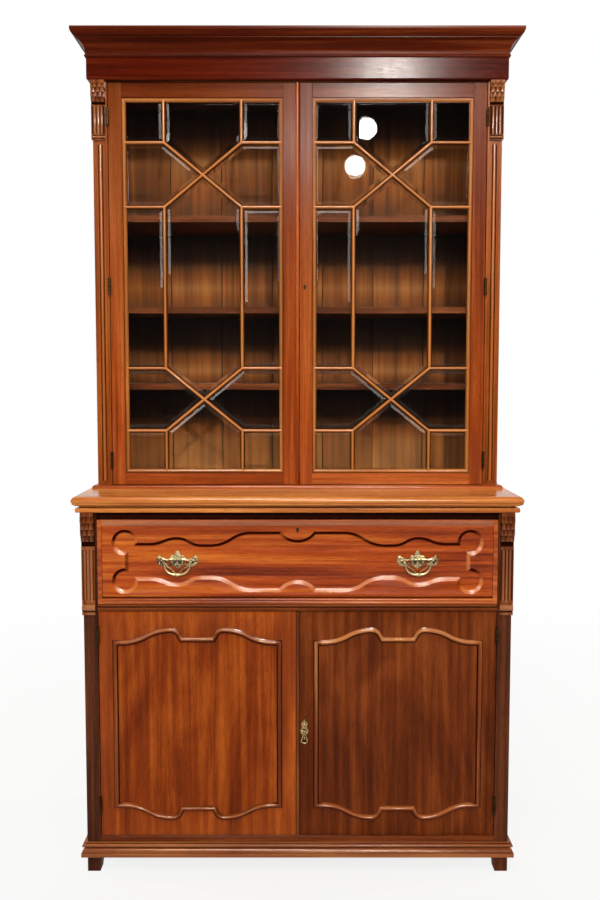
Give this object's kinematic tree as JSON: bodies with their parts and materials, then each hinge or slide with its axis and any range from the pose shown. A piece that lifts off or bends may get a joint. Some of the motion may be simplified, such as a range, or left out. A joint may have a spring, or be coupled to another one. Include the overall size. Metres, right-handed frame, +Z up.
{
  "type": "secretaire bookcase",
  "caption": "Glazed mahogany bookcase with astragal doors over a secretaire drawer with a fall front and a cupboard with shaped panel mouldings.",
  "frame": {"origin": "on the floor, under the middle of the bounding box", "axes": "+Z up, -Y out of the front, +X to the viewer's right when facing the front"},
  "size_m": [1.258, 0.53, 2.34],
  "materials": {
    "dark_mahogany": "french polished",
    "mahogany": "french polished",
    "figured_mahogany": "french polished",
    "glazing_mahogany": "french polished",
    "secondary_timber": "waxed",
    "glass": "polished",
    "leather": "polished",
    "brass": "antique lacquered"
  },
  "bodies": {
    "carcase": {"feet": "dark_mahogany", "plinth_moulding": "dark_mahogany", "base_posts": "dark_mahogany", "base_pilaster_trim": "dark_mahogany", "base_corbels": "dark_mahogany", "base_sides": "dark_mahogany", "desk_top_moulding": "dark_mahogany", "bookcase_base_bead": "dark_mahogany", "bookcase_sides": "dark_mahogany", "bookcase_posts": "dark_mahogany", "bookcase_pilaster_trim": "dark_mahogany", "bookcase_corbels": "dark_mahogany", "frieze_boards": "dark_mahogany", "cornice_moulding": "dark_mahogany", "base_rails": "mahogany", "desk_top": "mahogany", "shelves": "mahogany", "base_boards": "secondary_timber", "drawer_runners": "secondary_timber", "base_back_boards": "secondary_timber", "shelf_bearers": "secondary_timber", "bookcase_boards": "secondary_timber", "bookcase_back_boards": "secondary_timber", "hinge_frame_leaves": "brass"},
    "upper_left_door": {"upper_left_door_frame": "mahogany", "upper_left_glazing_bars": "glazing_mahogany", "upper_left_panes": "glass", "upper_left_hinge_leaves": "brass", "upper_meeting_bead": "mahogany"},
    "upper_right_door": {"upper_right_door_frame": "mahogany", "upper_right_glazing_bars": "glazing_mahogany", "upper_right_panes": "glass", "upper_right_hinge_leaves": "brass", "upper_door_lock": "brass"},
    "base_left_door": {"base_left_door_panel": "figured_mahogany", "base_left_door_moulding": "mahogany", "base_left_hinge_leaves": "brass", "base_meeting_bead": "mahogany"},
    "base_right_door": {"base_right_door_panel": "figured_mahogany", "base_right_door_moulding": "mahogany", "base_right_hinge_leaves": "brass", "drop_handle_plate": "brass"},
    "drop_handle": {"drop_handle": "brass"},
    "secretaire_drawer": {"drawer_box": "secondary_timber", "drawer_front_strips": "mahogany", "writing_bed": "mahogany", "pigeonhole_case": "mahogany", "fall_pivots": "brass"},
    "nest_drawer_left": {"nest_drawer_left": "mahogany"},
    "nest_drawer_right": {"nest_drawer_right": "mahogany"},
    "fall": {"fall_panel": "figured_mahogany", "fall_top_bead": "mahogany", "writing_leather": "leather", "fall_lock": "brass", "quadrant_stays": "brass", "handle_plates": "brass"},
    "bail_left": {"bail_left": "brass"},
    "bail_right": {"bail_right": "brass"}
  },
  "joints": [
    {"name": "upper_left_door_hinge", "type": "hinge", "parent": "carcase", "child": "upper_left_door", "pos_m": [-0.53625, -0.0595, 1.6335], "axis": [0, 0, -1], "range_deg": [0, 105]},
    {"name": "upper_right_door_hinge", "type": "hinge", "parent": "carcase", "child": "upper_right_door", "pos_m": [0.53625, -0.0595, 1.6335], "axis": [0, 0, 1], "range_deg": [0, 105]},
    {"name": "base_left_door_hinge", "type": "hinge", "parent": "carcase", "child": "base_left_door", "pos_m": [-0.54625, -0.2445, 0.4185], "axis": [0, 0, -1], "range_deg": [0, 105]},
    {"name": "base_right_door_hinge", "type": "hinge", "parent": "carcase", "child": "base_right_door", "pos_m": [0.54625, -0.2445, 0.4185], "axis": [0, 0, 1], "range_deg": [0, 105]},
    {"name": "secretaire_drawer_slide", "type": "slide", "parent": "carcase", "child": "secretaire_drawer", "axis": [0, -1, 0], "range_m": [0, 0.27]},
    {"name": "fall_hinge", "type": "hinge", "parent": "secretaire_drawer", "child": "fall", "pos_m": [0, -0.229, 0.7835], "axis": [1, 0, 0], "range_deg": [0, 90]},
    {"name": "bail_left_swing", "type": "hinge", "parent": "fall", "child": "bail_left", "pos_m": [-0.328, -0.2435, 0.873], "axis": [-1, 0, 0], "range_deg": [0, 80]},
    {"name": "bail_right_swing", "type": "hinge", "parent": "fall", "child": "bail_right", "pos_m": [0.328, -0.2435, 0.873], "axis": [-1, 0, 0], "range_deg": [0, 80]},
    {"name": "drop_handle_swing", "type": "hinge", "parent": "base_right_door", "child": "drop_handle", "pos_m": [0.019, -0.245, 0.402], "axis": [-1, 0, 0], "range_deg": [0, 70]},
    {"name": "nest_drawer_left_slide", "type": "slide", "parent": "secretaire_drawer", "child": "nest_drawer_left", "axis": [0, -1, 0], "range_m": [0, 0.12]},
    {"name": "nest_drawer_right_slide", "type": "slide", "parent": "secretaire_drawer", "child": "nest_drawer_right", "axis": [0, -1, 0], "range_m": [0, 0.12]}
  ]
}
